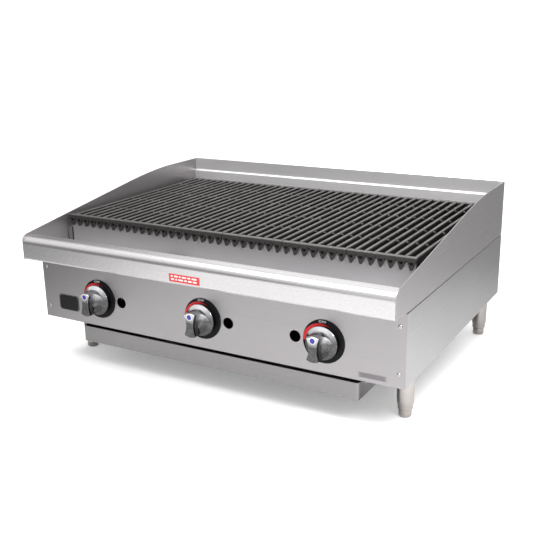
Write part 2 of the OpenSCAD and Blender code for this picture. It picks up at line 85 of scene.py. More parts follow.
class StageSettings(bpy.types.PropertyGroup):
    floor_size: bpy.props.FloatProperty(
        name="Floor size", description="Width of the pale floor", default=14.0, min=2.0, unit="LENGTH")
    floor_colour: colour_setting("Floor colour", "Colour of the floor", (0.93, 0.93, 0.93))
    sky_strength: bpy.props.FloatProperty(
        name="Room light", description="Strength of the even light from all around", default=0.92, min=0.0)
    key_power: bpy.props.FloatProperty(
        name="Overhead light", description="Power of the softbox overhead", default=60.0, min=0.0,
        unit="POWER")
    camera_place: bpy.props.FloatVectorProperty(
        name="Camera place", description="Where the camera stands", subtype="TRANSLATION", size=3,
        default=(0.95357, -1.6645, 0.78313))
    camera_turn: bpy.props.FloatProperty(
        name="Camera turn", description="Turn to the left of straight at the back", subtype="ANGLE",
        default=0.530020)
    camera_dip: bpy.props.FloatProperty(
        name="Camera dip", description="How far the camera looks down", subtype="ANGLE",
        default=0.290467)
    camera_roll: bpy.props.FloatProperty(
        name="Camera roll", description="Tilt of the camera about its own axis", subtype="ANGLE",
        default=-0.020565)
    lens: bpy.props.FloatProperty(
        name="Lens", description="Focal length in millimetres on a 36 mm sensor", default=55.635, min=20.0)


# The sheets are all one stainless steel; some of them are given brighter or darker copies of its colour as
# painted light and painted shade.
class SheetSettings(bpy.types.PropertyGroup):
    edge: length_setting("Edge radius", "Radius of the deburred sheet edges", 0.0005)
    splash_edge: length_setting("Splash edge radius", "Radius of the splashes' rolled edges", 0.0009)
    front_colour: colour_setting("Front steel", "Colour of the control panel", (0.345, 0.332, 0.337))
    side_colour: colour_setting("Side steel", "Colour of the lower side panels", (0.42, 0.42, 0.42))
    splash_colour: colour_setting("Splash steel", "Colour of the side splashes", (0.36, 0.345, 0.35))
    # Painted light: the back splash's colour is far brighter than the other sheets'.
    back_colour_painted_bright: colour_setting("Back splash steel", "Colour of the back splash", (0.86, 0.85, 0.86))
    # Painted light: the rail's colour is brighter than the other sheets'.
    rail_colour_painted_bright: colour_setting("Rail steel", "Colour of the rounded front rail", (0.66, 0.645, 0.65))
    inner_colour: colour_setting("Inner steel", "Colour of the sheets inside", (0.42, 0.41, 0.41))


class GrateSettings(bpy.types.PropertyGroup):
    ridges: bpy.props.IntProperty(
        name="Ridges", description="Ridges on one grate", default=7, min=1)
    ridge_width: length_setting("Ridge width", "Width of a ridge at its top", 0.0070)
    tie_pitch: length_setting("Tie pitch", "Distance between the cross ties", 0.106)
    iron: colour_setting("Cast iron", "Colour of the iron", (0.012, 0.0105, 0.010))
    # Painted highlight: the colour given to the ridge tops.
    top_highlight: colour_setting("Ridge top highlight", "Colour of the ridges' tops, a painted highlight", (0.105, 0.098, 0.095))


class ControlSettings(bpy.types.PropertyGroup):
    scoop_centre: length_setting("Scoop centre", "Distance of a thumb scoop's axis from the knob's", 0.033)
    scoop_radius: length_setting("Scoop radius", "Radius of a thumb scoop at its middle", 0.025)
    chrome: colour_setting("Chrome", "Colour of the knobs' plating", (0.42, 0.42, 0.43))
    dial: colour_setting("Dial enamel", "Colour of the dial plates", (0.008, 0.008, 0.009))
    warm_band: colour_setting("Heat band", "Colour of the band on a dial", (0.72, 0.03, 0.035))
    pointer: colour_setting("Pointer spot", "Colour of the spot on a knob", (0.03, 0.025, 0.28))


# ---- Finishes ----


def new_material(name):
    """A fresh node material and its shader."""
    material = bpy.data.materials.new(name)
    material.use_nodes = True
    nodes = material.node_tree.nodes
    nodes.clear()
    output = nodes.new("ShaderNodeOutputMaterial")
    shader = nodes.new("ShaderNodeBsdfPrincipled")
    material.node_tree.links.new(shader.outputs[0], output.inputs[0])
    return material, shader


def wire(owner, source, target):
    """Links two sockets in the node tree of a material or a world."""
    owner.node_tree.links.new(source, target)


def add(owner, kind, **values):
    """Adds a node; each value goes to the input of that name or else to the node's own setting."""
    node = owner.node_tree.nodes.new(kind)
    for key, value in values.items():
        if key in node.inputs:
            node.inputs[key].default_value = value
        else:
            setattr(node, key, value)
    return node


def object_noise(material, scale, detail=4.0, roughness=0.55):
    """Noise in object coordinates, stretched by a scale along each axis."""
    place = add(material, "ShaderNodeTexCoord")
    mapping = add(material, "ShaderNodeMapping")
    mapping.inputs["Scale"].default_value = scale
    noise = add(material, "ShaderNodeTexNoise", Scale=1.0, Detail=detail, Roughness=roughness)
    wire(material, place.outputs["Object"], mapping.inputs["Vector"])
    wire(material, mapping.outputs[0], noise.inputs["Vector"])
    return noise.outputs["Fac"]


def spread(material, value, low, high, start=0.3, end=0.7):
    """Maps a 0 to 1 value onto a range."""
    node = add(material, "ShaderNodeMapRange")
    node.inputs["From Min"].default_value = start
    node.inputs["From Max"].default_value = end
    node.inputs["To Min"].default_value = low
    node.inputs["To Max"].default_value = high
    wire(material, value, node.inputs["Value"])
    return node.outputs["Result"]


def colour_mix(owner):
    """A colour mix node: its factor, its two colours and its result."""
    mix = add(owner, "ShaderNodeMix", data_type="RGBA")
    first, second = [socket for socket in mix.inputs if socket.type == "RGBA"]
    result = [socket for socket in mix.outputs if socket.type == "RGBA"][0]
    return mix.inputs["Factor"], first, second, result


def tinted(material, value, dark, light):
    """A colour between two, picked by a value."""
    factor, first, second, result = colour_mix(material)
    first.default_value = (*dark, 1.0)
    second.default_value = (*light, 1.0)
    wire(material, value, factor)
    return result


def combined(material, operation, first, second, **values):
    """Works on two values with a maths node."""
    node = add(material, "ShaderNodeMath", operation=operation, **values)
    wire(material, first, node.inputs[0])
    if isinstance(second, float):
        node.inputs[1].default_value = second
    else:
        wire(material, second, node.inputs[1])
    return node.outputs[0]


def object_axes(material):
    """The X, Y and Z of each point in object coordinates."""
    place = add(material, "ShaderNodeTexCoord")
    split = add(material, "ShaderNodeSeparateXYZ")
    wire(material, place.outputs["Object"], split.inputs[0])
    return split.outputs


def bumped(material, shader, height, strength, distance):
    bump = add(material, "ShaderNodeBump", Strength=strength, Distance=distance)
    wire(material, height, bump.inputs["Height"])
    wire(material, bump.outputs[0], shader.inputs["Normal"])


def scaled(colour, factor):
    return tuple(min(1.0, channel * factor) for channel in colour)


def brushed_steel(name, colour, grain=(3.0, 900.0, 900.0), rough=(0.27, 0.40), metallic=1.0):
    """Stainless sheet with a fine brushed grain and faint mill clouding; a dull sheet is less metallic."""
    if name in bpy.data.materials:
        return bpy.data.materials[name]
    material, shader = new_material(name)
    shader.inputs["Metallic"].default_value = metallic
    clouds = object_noise(material, (5.0, 5.0, 5.0), 3.0)
    strands = object_noise(material, grain, 3.0, 0.6)
    shade = tinted(material, clouds, scaled(colour, 0.95), scaled(colour, 1.04))
    wire(material, shade, shader.inputs["Base Color"])
    wire(material, spread(material, strands, *rough), shader.inputs["Roughness"])
    bumped(material, shader, strands, 0.16, 0.00004)
    return material


def cast_iron(name, colour, top_highlight=None, highlight_top_z=None, face_y=0.0):
    """Rough cast iron; the tops at the given height are painted lighter in patches, a painted highlight, and
    are smoother, and the face at face_y is dusty.
    """
    if name in bpy.data.materials:
        return bpy.data.materials[name]
    material, shader = new_material(name)
    pits = object_noise(material, (700.0, 700.0, 700.0), 5.0, 0.65)
    shader.inputs["Metallic"].default_value = 0.55
    if highlight_top_z is None:
        blotches = object_noise(material, (28.0, 28.0, 28.0), 4.0)
        base = tinted(material, blotches, scaled(colour, 0.7), scaled(colour, 1.5))
        wire(material, base, shader.inputs["Base Color"])
        wire(material, spread(material, pits, 0.5, 0.75), shader.inputs["Roughness"])
    else:
        axes = object_axes(material)
        # Painted highlight: the ridge tops get a lighter colour in patches.
        height = spread(material, axes["Z"], 0.0, 1.0, highlight_top_z - 0.0042, highlight_top_z - 0.0012)
        smears = object_noise(material, (160.0, 22.0, 160.0), 4.0, 0.7)
        patchy = spread(material, smears, 0.55, 1.0, 0.35, 0.6)
        painted_highlight_mask = combined(material, "MULTIPLY", height, patchy)
        factor, first, second, result = colour_mix(material)
        dusty = spread(material, axes["Y"], 1.0, 0.0, face_y + 0.0022, face_y + 0.0030)
        wire(material, tinted(material, dusty, colour, scaled(top_highlight, 0.40)), first)
        second.default_value = (*top_highlight, 1.0)
        wire(material, painted_highlight_mask, factor)
        wire(material, result, shader.inputs["Base Color"])
        wire(material, spread(material, painted_highlight_mask, 0.60, 0.32, 0.0, 1.0), shader.inputs["Roughness"])
    bumped(material, shader, pits, 0.5, 0.0003)
    return material


def polished(name, colour, rough=(0.05, 0.10), metallic=1.0, clouds=60.0, sheen=0.5):
    """Plating, enamel or smooth plastic, with faint handling marks in its gloss."""
    if name in bpy.data.materials:
        return bpy.data.materials[name]
    material, shader = new_material(name)
    shader.inputs["Metallic"].default_value = metallic
    shader.inputs["Specular IOR Level"].default_value = sheen
    marks = object_noise(material, (clouds, clouds, clouds), 4.0, 0.6)
    shade = tinted(material, marks, scaled(colour, 0.94), scaled(colour, 1.04))
    wire(material, shade, shader.inputs["Base Color"])
    wire(material, spread(material, marks, *rough), shader.inputs["Roughness"])
    bumped(material, shader, object_noise(material, (900.0, 900.0, 900.0), 2.0), 0.08, 0.00005)
    return material


# ---- Making pieces ----


def mesh_object(name, bm):
    mesh = bpy.data.meshes.new(name)
    bm.to_mesh(mesh)
    bm.free()
    obj = bpy.data.objects.new(name, mesh)
    bpy.context.scene.collection.objects.link(obj)
    return obj


def settle(obj):
    """Turns the modifiers' result into the object's own mesh and removes them."""
    depsgraph = bpy.context.evaluated_depsgraph_get()
    mesh = bpy.data.meshes.new_from_object(obj.evaluated_get(depsgraph), depsgraph=depsgraph)
    old = obj.data
    obj.modifiers.clear()
    obj.data = mesh
    bpy.data.meshes.remove(old)


def round_edges(obj, width, segments=2, angle=35.0):
    bevel = obj.modifiers.new("round edges", "BEVEL")
    bevel.width = width
    bevel.segments = segments
    bevel.limit_method = "ANGLE"
    bevel.angle_limit = math.radians(angle)
    settle(obj)


def smooth(obj, angle=32.0):
    obj.data.shade_smooth()
    obj.data.set_sharp_from_angle(angle=math.radians(angle))
    flat_faces = obj.modifiers.new("keep flat faces flat", "WEIGHTED_NORMAL")
    flat_faces.weight = 100
    flat_faces.keep_sharp = True
    settle(obj)


def dress(obj, materials, body, slot, *nodes, angle=32.0):
    """Gives a piece its finish and its body, and hides the nodes that it stands for. The slot is not used.
    """
    if not isinstance(materials, (list, tuple)):
        materials = [materials]
    picked = [min(p.material_index, len(materials) - 1) for p in obj.data.polygons]
    obj.data.materials.clear()
    for material in materials:
        obj.data.materials.append(material)
    for polygon, index in zip(obj.data.polygons, picked):
        polygon.material_index = index
    smooth(obj, angle)
    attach(obj, body)
    if nodes:
        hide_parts(*nodes)
    return obj


def softened(node, name, width, segments=2, angle=35.0):
    """A copy of a node with its loose triangles joined into faces and its edges rounded."""
    bm = bmesh.new()
    bm.from_mesh(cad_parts[node].data)
    bmesh.ops.remove_doubles(bm, verts=bm.verts, dist=0.000002)
    bmesh.ops.dissolve_limit(bm, angle_limit=math.radians(0.6), verts=bm.verts, edges=bm.edges)
    obj = mesh_object(name, bm)
    round_edges(obj, width, segments, angle)
    return obj


def carried(node, material):
    """Gives a node that stays as it is a better finish."""
    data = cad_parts[node].data
    if not data.materials:
        data.materials.append(material)
    for index in range(len(data.materials)):
        data.materials[index] = material


def band(bm, near, far, material_index=0):
    """Joins two matching closed loops of vertices with a band of faces."""
    count = len(near)
    for i in range(count):
        j = (i + 1) % count
        bm.faces.new((near[i], near[j], far[j], far[i])).material_index = material_index


def mirrored(right):
    """A left-to-right outline from its right half, given from the middle outwards."""
    return [(-x, z) for x, z in reversed(right)] + right


def prism(bm, outline, x0, x1):
    """Draws a closed outline of (y, z) points out along X, in body millimetres."""
    near = [bm.verts.new(at(x0, y, z)) for y, z in outline]
    far = [bm.verts.new(at(x1, y, z)) for y, z in outline]
    band(bm, near, far)
    bm.faces.new(list(reversed(near)))
    bm.faces.new(far)


def box(bm, low, high, material_index=0):
    """A box between two corners in body millimetres."""
    corners = [bm.verts.new(at(x, y, z))
               for x in (low[0], high[0]) for y in (low[1], high[1]) for z in (low[2], high[2])]
    for face in ((0, 1, 3, 2), (4, 6, 7, 5), (0, 4, 5, 1), (2, 3, 7, 6), (0, 2, 6, 4), (1, 5, 7, 3)):
        bm.faces.new([corners[i] for i in face]).material_index = material_index


def rounded(points, radii, steps=6):
    """A line of points whose corners are turned into arcs of the given radii."""
    line = [Vector(points[0])]
    for before, corner, after, radius in zip(points, points[1:], points[2:], radii):
        corner = Vector(corner)
        back = (Vector(before) - corner)
        on = (Vector(after) - corner)
        half = back.angle(on) / 2
        if radius <= 0 or half > math.radians(89):
            line.append(corner)
            continue
        reach = min(radius / math.tan(half), back.length * 0.49, on.length * 0.49)
        start = corner + back.normalized() * reach
        end = corner + on.normalized() * reach
        weight = math.sin(half)
        for i in range(steps + 1):
            t = i / steps
            a, b, c = (1 - t) ** 2, 2 * t * (1 - t) * weight, t * t
            line.append((start * a + corner * b + end * c) / (a + b + c))
    line.append(Vector(points[-1]))
    return line


def thickened(line, thickness):
    """Closes an open line into the outline of a sheet, its thickness to the left of the line."""
    inner = []
    for i, point in enumerate(line):
        before = (point - line[i - 1]).normalized() if i else (line[1] - line[0]).normalized()
        after = (line[i + 1] - point).normalized() if i < len(line) - 1 else before
        left = Vector((-(before.y + after.y), before.x + after.x)).normalized()
        stretch = left.dot(Vector((-before.y, before.x)))
        inner.append(point + left * thickness / max(stretch, 0.3))
    return line + inner[::-1]


def folded(name, points, radii, thickness, x0, x1, edge=0.0003, steps=6):
    """A folded sheet: a line of bends in (y, z), drawn out along X."""
    bm = bmesh.new()
    prism(bm, thickened(rounded(points, radii, steps), thickness), x0, x1)
    bmesh.ops.recalc_face_normals(bm, faces=bm.faces)
    obj = mesh_object(name, bm)
    round_edges(obj, edge, 2, 50.0)
    return obj


def lathe(bm, profile, place, segments=64, material_index=0):
    """Turns a profile of (radius, height) about an axis; place(radius, angle, height) gives a point."""
    rings = []
    for radius, height in profile:
        if radius < 1e-6:
            rings.append([bm.verts.new(place(0.0, 0.0, height))])
        else:
            turns = [2 * math.pi * k / segments for k in range(segments)]
            rings.append([bm.verts.new(place(radius, turn, height)) for turn in turns])
    for lower, upper in zip(rings, rings[1:]):
        for k in range(segments):
            n = (k + 1) % segments
            if len(lower) == 1 and len(upper) == 1:
                continue
            if len(lower) == 1:
                face = bm.faces.new((lower[0], upper[n], upper[k]))
            elif len(upper) == 1:
                face = bm.faces.new((lower[k], lower[n], upper[0]))
            else:
                face = bm.faces.new((lower[k], lower[n], upper[n], upper[k]))
            face.material_index = material_index
    return rings


# ---- Repeats ----


def repeat_tree(name, parts):
    """A node tree that sets each part along its own line of points, then makes one mesh of them.

    Each part takes its shape, count, first place and step from the tree's inputs.
    """
    tree = bpy.data.node_groups.new(name, "GeometryNodeTree")
    face = tree.interface
    face.new_socket(name="Geometry", in_out="OUTPUT", socket_type="NodeSocketGeometry")
    face.new_socket(name="Geometry", in_out="INPUT", socket_type="NodeSocketGeometry")
    sockets = {}
    for part in parts:
        for label, kind in (("shape", "Object"), ("count", "Int"), ("first", "Vector"), ("step", "Vector")):
            key = f"{part} {label}"
            socket = face.new_socket(name=key, in_out="INPUT", socket_type="NodeSocket" + kind)
            sockets[key] = socket.identifier
    finish = face.new_socket(name="finish", in_out="INPUT", socket_type="NodeSocketMaterial")
    sockets["finish"] = finish.identifier
    nodes, links = tree.nodes, tree.links
    start = nodes.new("NodeGroupInput")
    end = nodes.new("NodeGroupOutput")
    join = nodes.new("GeometryNodeJoinGeometry")
    links.new(start.outputs["Geometry"], join.inputs[0])
    for part in parts:
        line = nodes.new("GeometryNodeMeshLine")
        info = nodes.new("GeometryNodeObjectInfo")
        place = nodes.new("GeometryNodeInstanceOnPoints")
        links.new(start.outputs[f"{part} shape"], info.inputs["Object"])
        links.new(start.outputs[f"{part} count"], line.inputs["Count"])
        links.new(start.outputs[f"{part} first"], line.inputs["Start Location"])
        links.new(start.outputs[f"{part} step"], line.inputs["Offset"])
        links.new(line.outputs["Mesh"], place.inputs["Points"])
        links.new(info.outputs["Geometry"], place.inputs["Instance"])
        links.new(place.outputs[0], join.inputs[0])
    real = nodes.new("GeometryNodeRealizeInstances")
    paint = nodes.new("GeometryNodeSetMaterial")
    links.new(join.outputs[0], real.inputs[0])
    links.new(real.outputs[0], paint.inputs["Geometry"])
    links.new(start.outputs["finish"], paint.inputs["Material"])
    links.new(paint.outputs[0], end.inputs[0])
    return tree, sockets


def repeated(obj, tree, sockets, values, finish):
    """Runs a repeat tree on an object and keeps the result as its mesh."""
    modifier = obj.modifiers.new("repeats", "NODES")
    modifier.node_group = tree
    for key, value in values.items():
        modifier[sockets[key]] = value
    modifier[sockets["finish"]] = finish
    settle(obj)


def discard(*objects):
    for obj in objects:
        mesh = obj.data
        bpy.data.objects.remove(obj)
        bpy.data.meshes.remove(mesh)


def metres(x, y, z):
    return Vector((x * MM, y * MM, z * MM))


# ---- Stage ----


def studio_world(strength):
    """Room light with a bright window behind, two dim patches at the left and a bright ceiling."""
    world = bpy.data.worlds.new("studio room")
    bpy.context.scene.world = world
    world.use_nodes = True
    world.node_tree.nodes.clear()
    output = add(world, "ShaderNodeOutputWorld")
    seen = add(world, "ShaderNodeBackground", Color=(1.0, 1.0, 1.0, 1.0), Strength=1.05)
    light = add(world, "ShaderNodeBackground", Strength=strength)
    place = add(world, "ShaderNodeTexCoord")

    def lobe(direction, start, end):
        """How close a direction is to the given one, from 0 at start to 1 at end."""
        dot = add(world, "ShaderNodeVectorMath", operation="DOT_PRODUCT")
        dot.inputs[1].default_value = Vector(direction).normalized()
        wire(world, place.outputs["Generated"], dot.inputs[0])
        ramp = add(world, "ShaderNodeMapRange", interpolation_type="SMOOTHSTEP")
        ramp.inputs["From Min"].default_value = start
        ramp.inputs["From Max"].default_value = end
        wire(world, dot.outputs["Value"], ramp.inputs["Value"])
        return ramp.outputs["Result"]

    def patched(room, patch, colour):
        """The room's light with one patch of it in another colour."""
        factor, first, second, result = colour_mix(world)
        if isinstance(room, tuple):
            first.default_value = (*room, 1.0)
        else:
            wire(world, room, first)
        second.default_value = (*colour, 1.0)
        wire(world, patch, factor)
        return result

    room = patched((1.0, 1.0, 1.0), lobe((-0.25, 0.93, 0.27), 0.80, 0.94), (1.5, 1.5, 1.5))
    room = patched(room, lobe((-0.88, 0.40, 0.15), 0.82, 0.955), (0.10, 0.098, 0.10))
    room = patched(room, lobe((-0.74, -0.66, 0.0), 0.86, 0.97), (0.20, 0.195, 0.20))
    room = patched(room, lobe((0.0, -0.15, 1.0), 0.55, 0.9), (1.25, 1.25, 1.25))
    wire(world, room, light.inputs["Color"])
    path = add(world, "ShaderNodeLightPath")
    pick = add(world, "ShaderNodeMixShader")
    wire(world, path.outputs["Is Camera Ray"], pick.inputs[0])
    wire(world, light.outputs[0], pick.inputs[1])
    wire(world, seen.outputs[0], pick.inputs[2])
    wire(world, pick.outputs[0], output.inputs[0])


class GRILL_OT_stage(bpy.types.Operator):
    """Sets out the floor, the studio light and the camera"""

    bl_idname = "grill.stage"
    bl_label = "Stage"

    def painted_floor_shade(self, material, shader):
        """Painted shade: the steel mirrors a floor whose colour is painted darker towards the left and the
        back, standing in for a dim room there; the camera sees the plain floor colour.
        """
        place = add(material, "ShaderNodeTexCoord")
        across = add(material, "ShaderNodeVectorMath", operation="DOT_PRODUCT")
        across.inputs[1].default_value = (1.0, -0.3, 0.0)
        wire(material, place.outputs["Object"], across.inputs[0])
        # Painted shade: in reflections only, the floor darkens to the left and to the back.
        painted_falloff = spread(material, across.outputs["Value"], 0.22, 0.80, -0.78, -0.24)
        depth = spread(material, object_axes(material)["Y"], 1.0, 0.30, 0.1, 0.95)
        path = add(material, "ShaderNodeLightPath")
        factor, first, second, result = colour_mix(material)
        wire(material, combined(material, "MULTIPLY", painted_falloff, depth), first)
        second.default_value = shader.inputs["Base Color"].default_value
        wire(material, path.outputs["Is Camera Ray"], factor)
        wire(material, result, shader.inputs["Base Color"])
        lift = combined(material, "MULTIPLY", path.outputs["Is Camera Ray"], 0.24)
        wire(material, lift, shader.inputs["Emission Strength"])
        shader.inputs["Emission Color"].default_value = (1.0, 1.0, 1.0, 1.0)

    def execute(self, context):
        settings = context.scene.grill_stage
        context.scene.view_settings.view_transform = "Standard"
        studio_world(settings.sky_strength)
        bm = bmesh.new()
        half = settings.floor_size / 2
        corners = ((-half, -half), (half, -half), (half, half), (-half, half))
        bm.faces.new([bm.verts.new((x, y, 0.0)) for x, y in corners])
        floor = mesh_object("floor", bm)
        material, shader = new_material("studio floor")
        shader.inputs["Base Color"].default_value = (*settings.floor_colour, 1.0)
        shader.inputs["Roughness"].default_value = 0.7
        # Painted shade in the floor's reflected colour.
        self.painted_floor_shade(material, shader)
        floor.data.materials.append(material)

        def softbox(name, place, target, size, power):
            light = bpy.data.lights.new(name, "AREA")
            light.shape = "RECTANGLE"
            light.size, light.size_y = size
            light.energy = power
            obj = bpy.data.objects.new(name, light)
            obj.visible_camera = False
            obj.location = place
            obj.rotation_euler = (Vector(target) - Vector(place)).to_track_quat("-Z", "Y").to_euler()
            context.scene.collection.objects.link(obj)

        softbox("overhead softbox", (0.1, -0.5, 2.4), (0.0, 0.0, 0.2), (2.6, 1.8), settings.key_power)
        front_power = settings.key_power * 0.10
        softbox("front right softbox", (0.78, -0.62, 0.74), (0.35, -0.2, 0.27), (0.35, 0.35), front_power)

        camera_data = bpy.data.cameras.new("camera")
        camera_data.lens = settings.lens
        camera_data.sensor_width = 36.0
        camera_data.clip_start = 0.05
        camera = bpy.data.objects.new("camera", camera_data)
        turn, dip, roll = -settings.camera_turn, settings.camera_dip, settings.camera_roll
        ahead = Vector((math.sin(turn) * math.cos(dip), math.cos(turn) * math.cos(dip), -math.sin(dip)))
        right = Vector((math.cos(turn), -math.sin(turn), 0.0))
        up = right.cross(ahead)
        level_right = right * math.cos(roll) + up * math.sin(roll)
        level_up = up * math.cos(roll) - right * math.sin(roll)
        matrix = Matrix((level_right, level_up, -ahead)).transposed().to_4x4()
        matrix.translation = settings.camera_place
        camera.matrix_world = matrix
        context.scene.collection.objects.link(camera)
        context.scene.camera = camera
        return {"FINISHED"}


# ---- Sheet metal ----


class GRILL_OT_body_panels(bpy.types.Operator):
    """Gives the body's panels and splashes deburred edges and a brushed finish, and the liners a brushed
    finish
    """

    bl_idname = "grill.body_panels"
    bl_label = "Body panels"

    def execute(self, context):
        sheet = context.scene.grill_sheet
        front = brushed_steel("front panel steel", sheet.front_colour)
        along_y = (900.0, 3.0, 900.0)
        side = brushed_steel("side panel steel", sheet.side_colour, along_y)
        inner = brushed_steel("inner steel", sheet.inner_colour, rough=(0.34, 0.48))
        dull = (0.30, 0.42)
        # Painted light: the firebox wall and the grease gutter take a brighter, less metallic copy of the
        # steel than the inner sheets beside them.
        upright = brushed_steel("firebox steel painted bright", scaled(sheet.back_colour_painted_bright, 0.66), rough=dull, metallic=0.86)
        splash = brushed_steel("splash steel", sheet.splash_colour, along_y, metallic=0.82)
        # Painted light: the back splash takes a brighter copy of the steel.
        back = brushed_steel("back splash steel painted bright", sheet.back_colour_painted_bright, rough=dull, metallic=0.72)
        for node, finish, slot in (
                ("front_panel", front, "brushed_stainless"),
                ("left_side_panel", side, "brushed_stainless"),
                ("right_side_panel", side, "brushed_stainless"),
                ("rear_panel", inner, "inner_stainless"),
                ("firebox_front_wall", upright, "inner_stainless"),
                ("tray_runners", inner, "inner_stainless")):
            dress(softened(node, f"soft_{node}", sheet.edge), finish, "chassis", slot, node)
        for node in ("left_splash", "right_splash"):
            piece = softened(node, f"soft_{node}", sheet.splash_edge, 3)
            dress(piece, splash, "chassis", "brushed_stainless", node)
        piece = softened("back_splash", "soft_back_splash", sheet.edge, 3, 20.0)
        dress(piece, back, "chassis", "brushed_stainless", "back_splash")
        for node in ("base_pan", "firebox_rear_wall", "left_firebox_liner", "right_firebox_liner"):
            carried(node, inner)
        carried("grease_gutter", upright)
        return {"FINISHED"}


class GRILL_OT_front_rail(bpy.types.Operator):
    """Folds the rounded front rail from one sheet"""

    bl_idname = "grill.front_rail"
    bl_label = "Front rail"

    def execute(self, context):
        low, high = body_box("bullnose_rail")
        # Painted light: the rail takes a brighter copy of the steel.
        steel = brushed_steel("rail steel", context.scene.grill_sheet.rail_colour_painted_bright, rough=(0.22, 0.34))
        nose_y, top_z, under_z = low.y, high.z, low.z
        nose_radius, top_back_y, panel_top_z = 18.0, nose_y + 36.0, 152.0
        face_z = panel_top_z + 7.0
        points = [(high.y, panel_top_z), (0.0, panel_top_z), (nose_y + 3.0, face_z - 4.0), (nose_y, face_z),
                  (nose_y, top_z), (top_back_y, top_z), (top_back_y, max(under_z, panel_top_z + 11.0))]
        radii = [1.5, 1.2, 1.2, nose_radius, 1.6]
        rail = folded("soft_bullnose_rail", points, radii, -SHEET, low.x, high.x, steps=14)
        dress(rail, steel, "chassis", "brushed_stainless", "bullnose_rail")
        return {"FINISHED"}


# ---- Grates and firebox ----


def ridge_shape(name, width, y_stops, low_shallow, low_deep, top):
    """One ridge, its near end rounded off; the middle stretch hangs lower than the two ends."""
    bm = bmesh.new()
    start, seat_end, deep_start, deep_end, seat_start, end = y_stops
    half = width / 2
    foot = 2.0
    stations = [(start, 0.30, 4.0), (start + 0.8, 0.62, 1.6), (start + 2.2, 0.88, 0.5),
                (start + 4.0, 1.0, 0.0), (seat_end, 1.0, 0.0), (deep_start, 1.0, 0.0),
                (deep_end, 1.0, 0.0), (seat_start, 1.0, 0.0), (end - 1.5, 1.0, 0.0), (end, 0.8, 1.2)]
    rings = []
    for y, share, drop in stations:
        low = low_deep if deep_start <= y <= deep_end else low_shallow
        crown = top - drop
        section = mirrored([(half - 1.9, crown), (half - 0.9, crown - 0.35), (half - 0.25, crown - 1.2),
                            (half, crown - 2.6), (foot, low)])
        rings.append([bm.verts.new(metres(x * share, y, z)) for x, z in section])
    for near, far in zip(rings, rings[1:]):
        band(bm, near, far)
    bm.faces.new(list(reversed(rings[0])))
    bm.faces.new(rings[-1])
    bmesh.ops.recalc_face_normals(bm, faces=bm.faces)
    return mesh_object(name, bm)


def tie_shape(name, x0, x1, pitch, ridge_width, ridges, low, top):
    """A cross tie that dips between the ridges and rises to meet each one."""
    half_depth = 4.5
    reach = pitch / 2
    crown = [(x0, top - 5.0)]
    for k in range(ridges - 1, -1, -1):
        middle = x1 - ridge_width / 2 - k * pitch
        for share, dip in ((-0.62, 5.2), (-0.42, 3.0), (-0.30, 2.2), (0.30, 2.2), (0.42, 3.0), (0.62, 5.2)):
            crown.append((middle + share * reach * 1.25, top - dip))
    crown = [point for point in crown if x0 <= point[0] < x1] + [(x1, top - 3.0)]
    outline = [(x0, low)] + [(x1, low)] + crown[::-1]
    bm = bmesh.new()
    near, far = [[bm.verts.new(metres(x, y, z)) for x, z in outline] for y in (-half_depth, half_depth)]
    band(bm, near, far)
    bm.faces.new(near)
    bm.faces.new(far[::-1])
    bmesh.ops.triangulate(bm, faces=[f for f in bm.faces if len(f.verts) > 4])
    bmesh.ops.recalc_face_normals(bm, faces=bm.faces)
    return mesh_object(name, bm)


def spout_shape(name, pitch, ridge_offset, seat, lip_y0, lip_y1):
    """A pointed drip spout under one channel, with a drain hole closed at its back by a face of the dark
    iron, a painted shade so the hole looks dark instead of showing the wall behind.
    """
    bm = bmesh.new()
    half = pitch / 2 - 1.0
    tip = seat - 14.5
    outer = mirrored([(1.3, tip), (2.6, tip + 1.5), (half, seat + 5.0)])
    hole = mirrored([(2.2, seat - 4.0), (3.2, seat - 3.0), (5.5, seat + 2.0)])
    ends = []
    for y in (lip_y0, lip_y1):
        loops = ([metres(x + ridge_offset, y, z) for x, z in loop] for loop in (outer, hole))
        ends.append([[bm.verts.new(point) for point in loop] for loop in loops])
    for rim, drain in ends:
        band(bm, rim, drain)
    # Painted shade: a dark iron face closes the drain so that it reads as a dark hole.
    painted_shade_drain_cap = ends[1][1]
    bm.faces.new(painted_shade_drain_cap)
    for near, far in zip(*ends):
        band(bm, near, far)
    bmesh.ops.recalc_face_normals(bm, faces=bm.faces)
    return mesh_object(name, bm)


